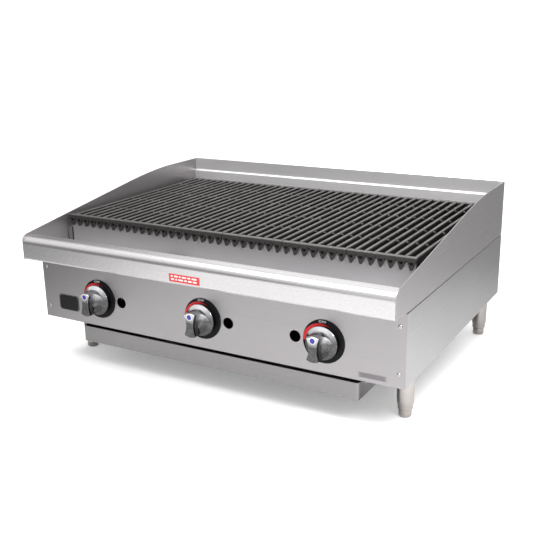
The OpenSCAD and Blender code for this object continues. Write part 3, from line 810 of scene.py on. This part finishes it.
class GRILL_OT_grates(bpy.types.Operator):
    """Casts the six lift-out grates: ridges, cross ties, rails and drip spouts"""

    bl_idname = "grill.grates"
    bl_label = "Grates"

    def execute(self, context):
        settings = context.scene.grill_grates
        front_wall_low, front_wall_high = body_box("firebox_front_wall")
        front_wall_y, seat = front_wall_low.y, front_wall_high.z
        rear_wall_y = body_box("firebox_rear_wall")[0].y
        ridge_width = settings.ridge_width / MM
        tie_pitch = settings.tie_pitch / MM
        ridge_drop, tie_drop, lip_depth, rail_depth = 13.0, 8.0, 4.0, 12.0
        iron = None
        tree, sockets = repeat_tree("grate castings", ("ridge", "tie", "spout"))
        for number in range(1, 7):
            node = f"grate_{number}"
            low, high = body_box(node)
            pitch = (high.x - low.x + 1.0) / settings.ridges
            top = high.z
            if iron is None:
                edge = at(0, low.y, top)
                # The grate iron has a painted highlight along its ridge tops.
                iron = cast_iron("grate iron", settings.iron, settings.top_highlight, edge.z, edge.y)
            y_stops = (low.y + 8.0, front_wall_y + 14.0, front_wall_y + 17.0,
                       rear_wall_y - 5.0, rear_wall_y - 2.0, high.y - 2.0)
            ridge = ridge_shape("ridge", ridge_width, y_stops, seat, seat - ridge_drop, top)
            spout = spout_shape("spout", pitch, ridge_width / 2 - pitch / 2, seat, low.y, low.y + lip_depth)
            tie = tie_shape("tie", low.x, high.x, pitch, ridge_width, settings.ridges, seat - tie_drop, top)
            bm = bmesh.new()
            box(bm, (low.x, low.y, top - 9.0), (high.x, low.y + rail_depth, top - 1.2))
            box(bm, (low.x, high.y - rail_depth, seat), (high.x, high.y, top - 1.0))
            grate = mesh_object(f"cast_{node}", bm)
            round_edges(grate, 0.0011, 3)
            ridge_first = at(high.x - ridge_width / 2, 0, 0)
            values = {
                "ridge shape": ridge, "ridge count": settings.ridges,
                "ridge first": ridge_first, "ridge step": metres(-pitch, 0, 0),
                "tie shape": tie, "tie count": int((rear_wall_y - 20.0 - front_wall_y) // tie_pitch),
                "tie first": at(0, front_wall_y + tie_pitch, 0), "tie step": metres(0, tie_pitch, 0),
                "spout shape": spout, "spout count": settings.ridges,
                "spout first": ridge_first, "spout step": metres(-pitch, 0, 0)}
            repeated(grate, tree, sockets, values, iron)
            dress(grate, iron, f"lift_{node}", "grate_iron", node, angle=40.0)
            discard(ridge, spout, tie)
        return {"FINISHED"}


class GRILL_OT_fire(bpy.types.Operator):
    """Finishes the radiants, the burners and the gas train"""

    bl_idname = "grill.fire"
    bl_label = "Radiants, burners and gas train"

    def execute(self, context):
        iron = cast_iron("radiant iron", (0.05, 0.042, 0.038))
        burner = cast_iron("burner steel", (0.16, 0.14, 0.12))
        black = polished("black pipe", (0.02, 0.02, 0.02), (0.35, 0.5), 0.4)
        brass = polished("valve brass", (0.55, 0.40, 0.16), (0.2, 0.32))
        bright = polished("turned steel", (0.55, 0.55, 0.56), (0.2, 0.3))
        for number in range(1, 7):
            node = f"radiant_{number}"
            dress(softened(node, f"soft_{node}", 0.0012), iron, "chassis", "radiant_iron", node)
        for side in SIDES:
            carried(f"{side}_burner", burner)
            carried(f"{side}_air_shutter", bright)
            carried(f"{side}_gas_valve", brass)
            carried(f"{side}_valve_stem", bright)
        carried("manifold_pipe", black)
        carried("gas_inlet_pipe", black)
        carried("pilot_lights", bright)
        return {"FINISHED"}


# ---- Controls ----


def knob_rings(settings, low, high, segments):
    """The knob's outline at each height: round, with a scoop bitten out of each side."""
    full = (high.x - low.x) / 2
    length = high.y - low.y
    body = full - 9.0
    centre = settings.scoop_centre / MM
    bite = settings.scoop_radius / MM
    scoop_height = length - 8.0
    stretch, softness = 1.6, 1.0
    rim = full - 1.0
    neck = rim - 1.6
    cone_start, cone_height = 10.0, 4.6
    cone_end = cone_start + cone_height
    face_start = length - 2.0
    heights = [(0.0, rim - 0.6), (0.4, rim), (8.2, rim), (8.9, rim - 0.2), (9.5, rim - 0.8),
               (cone_start, neck)]
    heights += [(cone_start + cone_height * t / 6, neck - (neck - body) * t / 6) for t in range(1, 7)]
    heights += [(cone_end + (face_start - cone_end) * (t / 26) ** 1.35, body) for t in range(1, 27)]
    heights += [(length - 1.2, body - 0.25), (length - 0.5, body - 0.8),
                (length - 0.12, body - 1.5), (length, body - 2.4)]
    rings = []
    for height, radius in heights:
        trim = max(0.0, body - radius) if height > 20 else 0.0
        reach = bite * bite - (scoop_height - height) ** 2
        ring = []
        for k in range(segments):
            angle = 2 * math.pi * k / segments
            distance = radius
            if reach > 0:
                wide = math.sqrt(reach)
                tall = wide * stretch
                c, s = abs(math.cos(angle)), math.sin(angle)
                a = (c / wide) ** 2 + (s / tall) ** 2
                b = -2 * centre * c / wide ** 2
                d = (centre / wide) ** 2 - 1
                root = b * b - 4 * a * d
                if root > 0:
                    hit = (-b - math.sqrt(root)) / (2 * a) - trim
                    gap = max(softness - abs(hit - distance), 0.0) / softness
                    distance = min(hit, distance) - gap * gap * softness / 4
            ring.append((distance, angle))
        rings.append((height, ring))
    return rings


class GRILL_OT_controls(bpy.types.Operator):
    """Makes the plated knobs and the enamelled dial plates behind them"""

    bl_idname = "grill.controls"
    bl_label = "Knobs and dials"

    def execute(self, context):
        settings = context.scene.grill_controls
        # The knobs' chrome carries a painted reflection, dark below and bright above.
        chrome = self.plating(settings.chrome, body_box("centre_knob"))
        spot = polished("pointer spot enamel", settings.pointer, (0.15, 0.25), 0.0)
        black = polished("dial enamel", settings.dial, (0.30, 0.42), 0.0, sheen=0.08)
        heat = polished("heat band enamel", settings.warm_band, (0.3, 0.4), 0.0, sheen=0.2)
        print_white = polished("dial print", (0.78, 0.78, 0.78), (0.4, 0.5), 0.0)
        for side in SIDES:
            self.knob(settings, side, chrome, spot, print_white)
            self.dial(side, black, heat, print_white)
        return {"FINISHED"}

    def plating(self, colour, knob_box):
        """Chrome with a painted reflection: its colour runs from dark below the knob's middle to bright
        above it, with faint smoky marks.
        """
        material, shader = new_material("knob chrome")
        shader.inputs["Metallic"].default_value = 1.0
        middle = at(0, 0, (knob_box[0].z + knob_box[1].z) / 2).z
        # Painted reflection: this height mask makes the chrome dark below and bright above.
        height = spread(material, object_axes(material)["Z"], 0.0, 1.0, middle + 0.004, middle + 0.030)
        smoke = object_noise(material, (210.0, 210.0, 210.0), 3.0, 0.6)
        marks = spread(material, smoke, -0.06, 0.06, 0.38, 0.62)
        painted_reflection_and_marks = combined(material, "ADD", height, marks, use_clamp=True)
        shade = tinted(material, painted_reflection_and_marks, scaled(colour, 0.20), scaled(colour, 1.9))
        wire(material, shade, shader.inputs["Base Color"])
        wire(material, spread(material, smoke, 0.05, 0.13), shader.inputs["Roughness"])
        return material

    def knob(self, settings, side, chrome, spot, ring):
        low, high = body_box(f"{side}_knob")
        x0, z0, base = (low.x + high.x) / 2, (low.z + high.z) / 2, high.y
        bm = bmesh.new()
        built = []
        for height, outline in knob_rings(settings, low, high, 144):
            points = [(x0 + r * math.cos(a), z0 + r * math.sin(a)) for r, a in outline]
            built.append([bm.verts.new(at(x, base - height, z)) for x, z in points])
        for near, far in zip(built, built[1:]):
            band(bm, near, far)
        bm.faces.new(built[0])
        bm.faces.new(built[-1])
        spot_up = 18.5
        spot_z = z0 + spot_up

        def on_face(radius, angle, height):
            x, z = x0 + radius * math.cos(angle), spot_z + radius * math.sin(angle)
            return at(x, low.y - 0.001 + height, z)

        lathe(bm, [(0.0, 0.0), (5.2, 0.0), (5.5, 0.2), (5.5, 0.6), (0.0, 0.6)], on_face, 32, 1)
        lathe(bm, [(6.1, 0.6), (6.1, 0.1), (6.4, 0.0), (7.2, 0.0), (7.4, 0.2), (7.4, 0.6)], on_face, 40, 2)
        bmesh.ops.recalc_face_normals(bm, faces=bm.faces)
        knob = mesh_object(f"plated_{side}_knob", bm)
        dress(knob, [chrome, spot, ring], f"{side}_control", "knob_chrome", f"{side}_knob", angle=38.0)

    def dial(self, side, black, heat, print_white):
        low, high = body_box(f"{side}_dial_plate")
        x0, z0, radius = (low.x + high.x) / 2, (low.z + high.z) / 2, (high.x - low.x) / 2
        face_y = low.y + 0.15
        bm = bmesh.new()

        def turned(r, angle, depth):
            return at(x0 + r * math.cos(angle), high.y - depth, z0 + r * math.sin(angle))

        thick = high.y - face_y
        profile = [(0.0, 0.0), (radius, 0.0), (radius, thick - 0.9), (radius - 0.3, thick - 0.3),
                   (radius - 0.9, thick), (0.0, thick)]
        lathe(bm, profile, turned, 96)
        steps = 40
        band_start, band_sweep = 51.0, 132.0
        first_edge, edge_growth = 33.0, 13.3
        tip_width, width_growth = 0.2, 6.9
        outer, inner = [], []
        for i in range(steps + 1):
            share = i / steps
            angle = math.radians(band_start + band_sweep * share)
            edge = min(radius - 0.5, first_edge + edge_growth * share)
            width = tip_width + width_growth * min(1.0, share * 2.4) ** 0.8
            outer.append((edge * math.cos(angle), edge * math.sin(angle)))
            inner.append(((edge - width) * math.cos(angle), (edge - width) * math.sin(angle)))
        loops = []
        for y in (face_y, low.y):
            loops.append([bm.verts.new(at(x0 + x, y, z0 + z)) for x, z in outer + inner[::-1]])
        band(bm, *loops, 1)
        for i in range(steps):
            for loop in reversed(loops):
                bm.faces.new((loop[i], loop[i + 1], loop[-2 - i], loop[-1 - i])).material_index = 1
        bmesh.ops.recalc_face_normals(bm, faces=bm.faces)
        off_centre, off_size = (x0 - 1.8, z0 + 41.4), (15.6, 5.0)
        self.lettering(bm, "OFF", off_centre, off_size, low.y, face_y)
        dial = mesh_object(f"enamel_{side}_dial", bm)
        dress(dial, [black, heat, print_white], "chassis", "dial_black", f"{side}_dial_plate", angle=40.0)

    def lettering(self, bm, words, centre, size, front_y, back_y):
        """Adds raised generic lettering of a given width and height to a mesh, its face at front_y."""
        curve = bpy.data.curves.new("lettering", "FONT")
        curve.body = words
        curve.extrude = 0.5
        curve.offset = 0.006
        curve.space_character = 1.2
        obj = bpy.data.objects.new("lettering", curve)
        bpy.context.scene.collection.objects.link(obj)
        bpy.context.view_layer.update()
        depsgraph = bpy.context.evaluated_depsgraph_get()
        mesh = bpy.data.meshes.new_from_object(obj.evaluated_get(depsgraph), depsgraph=depsgraph)
        low = [min(v.co[axis] for v in mesh.vertices) for axis in range(3)]
        high = [max(v.co[axis] for v in mesh.vertices) for axis in range(3)]
        middle = (Vector(low) + Vector(high)) / 2
        spans = (size[0], size[1], back_y - front_y)
        scale = Matrix.Diagonal([span * MM / (h - w) for span, w, h in zip(spans, low, high)]).to_4x4()
        place = Matrix.Translation(at(centre[0], (front_y + back_y) / 2, centre[1]))
        upright = Matrix.Rotation(math.radians(90), 4, "X")
        mesh.transform(place @ upright @ scale @ Matrix.Translation(-middle))
        for polygon in mesh.polygons:
            polygon.material_index = 2
        bm.from_mesh(mesh)
        bpy.data.objects.remove(obj)
        bpy.data.curves.remove(curve)
        bpy.data.meshes.remove(mesh)


# ---- Tray, legs, fasteners and marks ----


class GRILL_OT_drip_tray(bpy.types.Operator):
    """Folds the drip tray, with rounded front corners"""

    bl_idname = "grill.drip_tray"
    bl_label = "Drip tray"

    def execute(self, context):
        # Painted shade: the tray takes a darker copy of the inner steel.
        colour = scaled(context.scene.grill_sheet.inner_colour, 0.60)
        steel = brushed_steel("tray steel painted dark", colour, rough=(0.26, 0.38))
        low, high = body_box("drip_tray")
        rim = 8.0
        x1 = high.x - rim
        bm = bmesh.new()
        plan = [(-x1, high.y), (-x1, low.y), (x1, low.y), (x1, high.y)]
        outline = thickened(rounded(plan, [6.0, 6.0], 8), SHEET)
        lower, upper = [[bm.verts.new(at(x, y, z)) for x, y in outline] for z in (low.z, high.z)]
        band(bm, lower, upper)
        bm.faces.new(list(reversed(lower)))
        bm.faces.new(upper)
        box(bm, (-x1 + 1.0, low.y + 1.0, low.z), (x1 - 1.0, high.y - 1.0, low.z + SHEET))
        box(bm, (-x1, high.y - SHEET, low.z), (x1, high.y, high.z))
        box(bm, (-x1 + 6.0, low.y + 1.0, high.z - SHEET), (x1 - 6.0, low.y + rim, high.z))
        for sign in (-1, 1):
            near, far = sorted((sign * (x1 - 1.0), sign * (x1 + rim)))
            box(bm, (near, low.y + 14.0, high.z - SHEET), (far, high.y, high.z))
        bmesh.ops.recalc_face_normals(bm, faces=bm.faces)
        tray = mesh_object("soft_drip_tray", bm)
        round_edges(tray, 0.0004, 2, 50.0)
        dress(tray, steel, "tray", "inner_stainless", "drip_tray")
        return {"FINISHED"}


class GRILL_OT_legs(bpy.types.Operator):
    """Turns the legs and their screw feet"""

    bl_idname = "grill.legs"
    bl_label = "Legs and feet"

    def execute(self, context):
        nickel = polished("leg nickel", (0.46, 0.43, 0.41), (0.07, 0.15))
        for corner in CORNERS:
            low, high = body_box(f"{corner}_leg")
            foot_low, foot_high = body_box(f"{corner}_foot")
            x0, y0 = (low.x + high.x) / 2, (low.y + high.y) / 2
            wide = (high.x - low.x) / 2
            foot = (foot_high.x - foot_low.x) / 2
            narrow = wide - 3.5

            def turned(radius, angle, height):
                return at(x0 + radius * math.cos(angle), y0 + radius * math.sin(angle), height)

            bm = bmesh.new()
            z0 = low.z
            profile = [(0.0, z0), (narrow - 0.8, z0), (narrow, z0 + 0.8), (narrow + 0.4, z0 + 11.0),
                       (narrow + 0.5, z0 + 12.0), (narrow + 1.6, z0 + 13.6), (narrow + 2.0, z0 + 15.0),
                       (wide - 0.2, high.z - 9.0), (wide, high.z - 6.0), (wide, high.z), (0.0, high.z)]
            lathe(bm, profile, turned)
            bmesh.ops.recalc_face_normals(bm, faces=bm.faces)
            leg = mesh_object(f"turned_{corner}_leg", bm)
            dress(leg, nickel, "chassis", "leg_nickel", f"{corner}_leg", angle=30.0)
            bm = bmesh.new()
            bottom = foot_low.z
            rise = z0 - bottom
            stem = 8.0
            profile = [(0.0, bottom), (foot - 3.0, bottom), (foot - 1.2, bottom + 0.6),
                       (foot - 0.2, bottom + 2.2), (foot, bottom + 4.0),
                       (foot, bottom + rise - 4.0), (foot - 0.6, bottom + rise - 1.5),
                       (foot - 1.8, bottom + rise - 0.3), (stem, bottom + rise - 0.3),
                       (stem, foot_high.z - 1.0), (stem - 1.0, foot_high.z), (0.0, foot_high.z)]
            lathe(bm, profile, turned)
            bmesh.ops.recalc_face_normals(bm, faces=bm.faces)
            screw_foot = mesh_object(f"turned_{corner}_foot", bm)
            dress(screw_foot, nickel, f"{corner}_screw_foot", "leg_nickel", f"{corner}_foot", angle=30.0)
        return {"FINISHED"}


class GRILL_OT_fasteners(bpy.types.Operator):
    """Sets the domed screws of the control panel and the rear panel"""

    bl_idname = "grill.fasteners"
    bl_label = "Fasteners"

    def execute(self, context):
        bright = polished("screw steel", (0.42, 0.42, 0.42), (0.22, 0.32))
        low, high = body_box("panel_screws")
        inset_x, head = high.x - 4.5, 4.5
        bm = bmesh.new()

        def turned(radius, angle, height):
            return Vector((radius * math.cos(angle), -height, radius * math.sin(angle))) * MM

        shank, depth = 2.0, 6.0
        profile = [(0.0, -depth), (shank, -depth), (shank, 0.0), (head, 0.0), (head, 0.5),
                   (head - 0.5, 1.5), (head - 1.6, 2.2), (1.5, 2.5), (0.0, 2.6)]
        lathe(bm, profile, turned, 24)
        bmesh.ops.recalc_face_normals(bm, faces=bm.faces)
        screw = mesh_object("screw", bm)
        rows = repeat_tree("screw rows", ("first row", "second row"))
        bottom_z, top_z = low.z + head, high.z - head
        starts = [at(sign * inset_x, 0, bottom_z) for sign in (-1, 1)]
        step = metres(0, 0, top_z - bottom_z)
        front = self.two_rows("domed_panel_screws", rows, screw, bright, 2, starts, step)
        dress(front, bright, "chassis", "screw_steel", "panel_screws", angle=40.0)

        rear_low, rear_high = body_box("rear_panel")
        side_inset, end_inset, in_row = 16.0, 14.0, 7
        screw.data.transform(Matrix.Rotation(math.pi, 4, "Z"))
        starts = [at(rear_low.x + side_inset, rear_high.y, z)
                  for z in (rear_low.z + end_inset, rear_high.z - end_inset)]
        step = metres((rear_high.x - rear_low.x - 2 * side_inset) / (in_row - 1), 0, 0)
        rear = self.two_rows("domed_rear_screws", rows, screw, bright, in_row, starts, step)
        dress(rear, bright, "chassis", "screw_steel", angle=40.0)
        discard(screw)
        return {"FINISHED"}

    def two_rows(self, name, rows, screw, finish, count, starts, step):
        """One mesh holding two equal rows of screws."""
        tree, sockets = rows
        holder = mesh_object(name, bmesh.new())
        values = {}
        for row, start in zip(("first row", "second row"), starts):
            values[f"{row} shape"] = screw
            values[f"{row} count"] = count
            values[f"{row} first"] = start
            values[f"{row} step"] = step
        repeated(holder, tree, sockets, values, finish)
        return holder


class GRILL_OT_marks(bpy.types.Operator):
    """Makes the plain badge, and the rating plate and rail label with bars and dashes for print"""

    bl_idname = "grill.marks"
    bl_label = "Badge and labels"

    def execute(self, context):
        black = polished("badge black", (0.012, 0.011, 0.012), (0.25, 0.4), 0.0, sheen=0.15)
        silver = polished("badge line", (0.5, 0.5, 0.5), (0.2, 0.3))
        low, high = body_box("front_badge")
        x0, z0 = (low.x + high.x) / 2, (low.z + high.z) / 2
        half_x, half_z = (high.x - low.x) / 2, (high.z - low.z) / 2
        bm = bmesh.new()

        cut = 5

        def plate(share, y0, y1, index):
            outline = [(-half_x, -half_z + cut), (-half_x + cut, -half_z), (half_x - cut, -half_z),
                       (half_x, -half_z + cut), (half_x, half_z - cut), (half_x - cut, half_z),
                       (-half_x + cut, half_z), (-half_x, half_z - cut)]
            points = [(x0 + x * share, z0 + z * share) for x, z in outline]
            rings = [[bm.verts.new(at(x, y, z)) for x, z in points] for y in (y0, y1)]
            band(bm, *rings, index)
            for ring in rings:
                bm.faces.new(ring).material_index = index

        plate(1.0, 0.0, -0.75, 0)
        plate(0.96, -0.7, -0.85, 1)
        plate(0.94, -0.8, -1.0, 0)
        bmesh.ops.recalc_face_normals(bm, faces=bm.faces)
        dress(mesh_object("plain_front_badge", bm), [black, silver], "chassis", "badge_black", "front_badge")

        red = polished("label red", (0.62, 0.05, 0.05), (0.4, 0.5), 0.0)
        pale = polished("label print", (0.8, 0.76, 0.76), (0.4, 0.5), 0.0)
        grey = polished("rating plate grey", (0.23, 0.22, 0.23), (0.35, 0.5), 0.6)
        dark = polished("rating plate print", (0.12, 0.11, 0.12), (0.4, 0.5), 0.3)
        low, high = body_box("stick_on_labels")
        bm = bmesh.new()
        nose_y = low.y
        label_left, label_right, label_tall, margin, dash_tall, dash_gap = -41.0, 35.0, 17.0, 5.0, 3.4, 3.2
        box(bm, (label_left, nose_y + 0.1, high.z - label_tall), (label_right, nose_y + 0.4, high.z), 0)
        upper_row, lower_row = (5, 9, 4, 11, 7, 12), (8, 4, 12, 6, 9, 9)
        for z, dashes in ((high.z - 6.6, upper_row), (high.z - 13.2, lower_row)):
            x = label_left + margin
            for dash in dashes:
                box(bm, (x, nose_y, z), (x + dash, nose_y + 0.15, z + dash_tall), 1)
                x += dash + dash_gap
        plate_wide, plate_tall = 58.0, 10.8
        x0, z0 = high.x - plate_wide, low.z
        box(bm, (x0, -0.3, z0), (high.x, 0.0, z0 + plate_tall), 2)
        for z in (z0 + 1.8, z0 + 4.6, z0 + 7.4):
            box(bm, (x0 + 4.0, -0.4, z), (high.x - 4.0, -0.25, z + 1.2), 3)
        bmesh.ops.recalc_face_normals(bm, faces=bm.faces)
        labels = mesh_object("blank_labels", bm)
        dress(labels, [red, pale, grey, dark], "chassis", "label_red", "stick_on_labels")
        return {"FINISHED"}


class GRILL_PT_panel(bpy.types.Panel):
    """Lists the charbroiler's pieces and their settings"""

    bl_idname = "GRILL_PT_panel"
    bl_label = "Charbroiler"
    bl_space_type = "VIEW_3D"
    bl_region_type = "UI"
    bl_category = "Charbroiler"

    def draw(self, context):
        for operator in OPERATORS:
            self.layout.operator(operator.bl_idname)
        for name in SETTINGS:
            group = getattr(context.scene, name)
            for key in group.bl_rna.properties.keys():
                if key not in {"rna_type", "name"}:
                    self.layout.prop(group, key)


OPERATORS = (GRILL_OT_stage, GRILL_OT_body_panels, GRILL_OT_front_rail, GRILL_OT_grates, GRILL_OT_fire,
             GRILL_OT_controls, GRILL_OT_drip_tray, GRILL_OT_legs, GRILL_OT_fasteners, GRILL_OT_marks)
SETTINGS = {"grill_stage": StageSettings, "grill_sheet": SheetSettings,
            "grill_grates": GrateSettings, "grill_controls": ControlSettings}


def register():
    for group in SETTINGS.values():
        bpy.utils.register_class(group)
    for name, group in SETTINGS.items():
        setattr(bpy.types.Scene, name, bpy.props.PointerProperty(type=group))
    for cls in (*OPERATORS, GRILL_PT_panel):
        bpy.utils.register_class(cls)


def unregister():
    for cls in (GRILL_PT_panel, *reversed(OPERATORS)):
        bpy.utils.unregister_class(cls)
    for name, group in SETTINGS.items():
        delattr(bpy.types.Scene, name)
        bpy.utils.unregister_class(group)


def main():
    register()
    for operator in OPERATORS:
        group, action = operator.bl_idname.split(".")
        getattr(getattr(bpy.ops, group), action)()


if __name__ == "__main__":
    main()
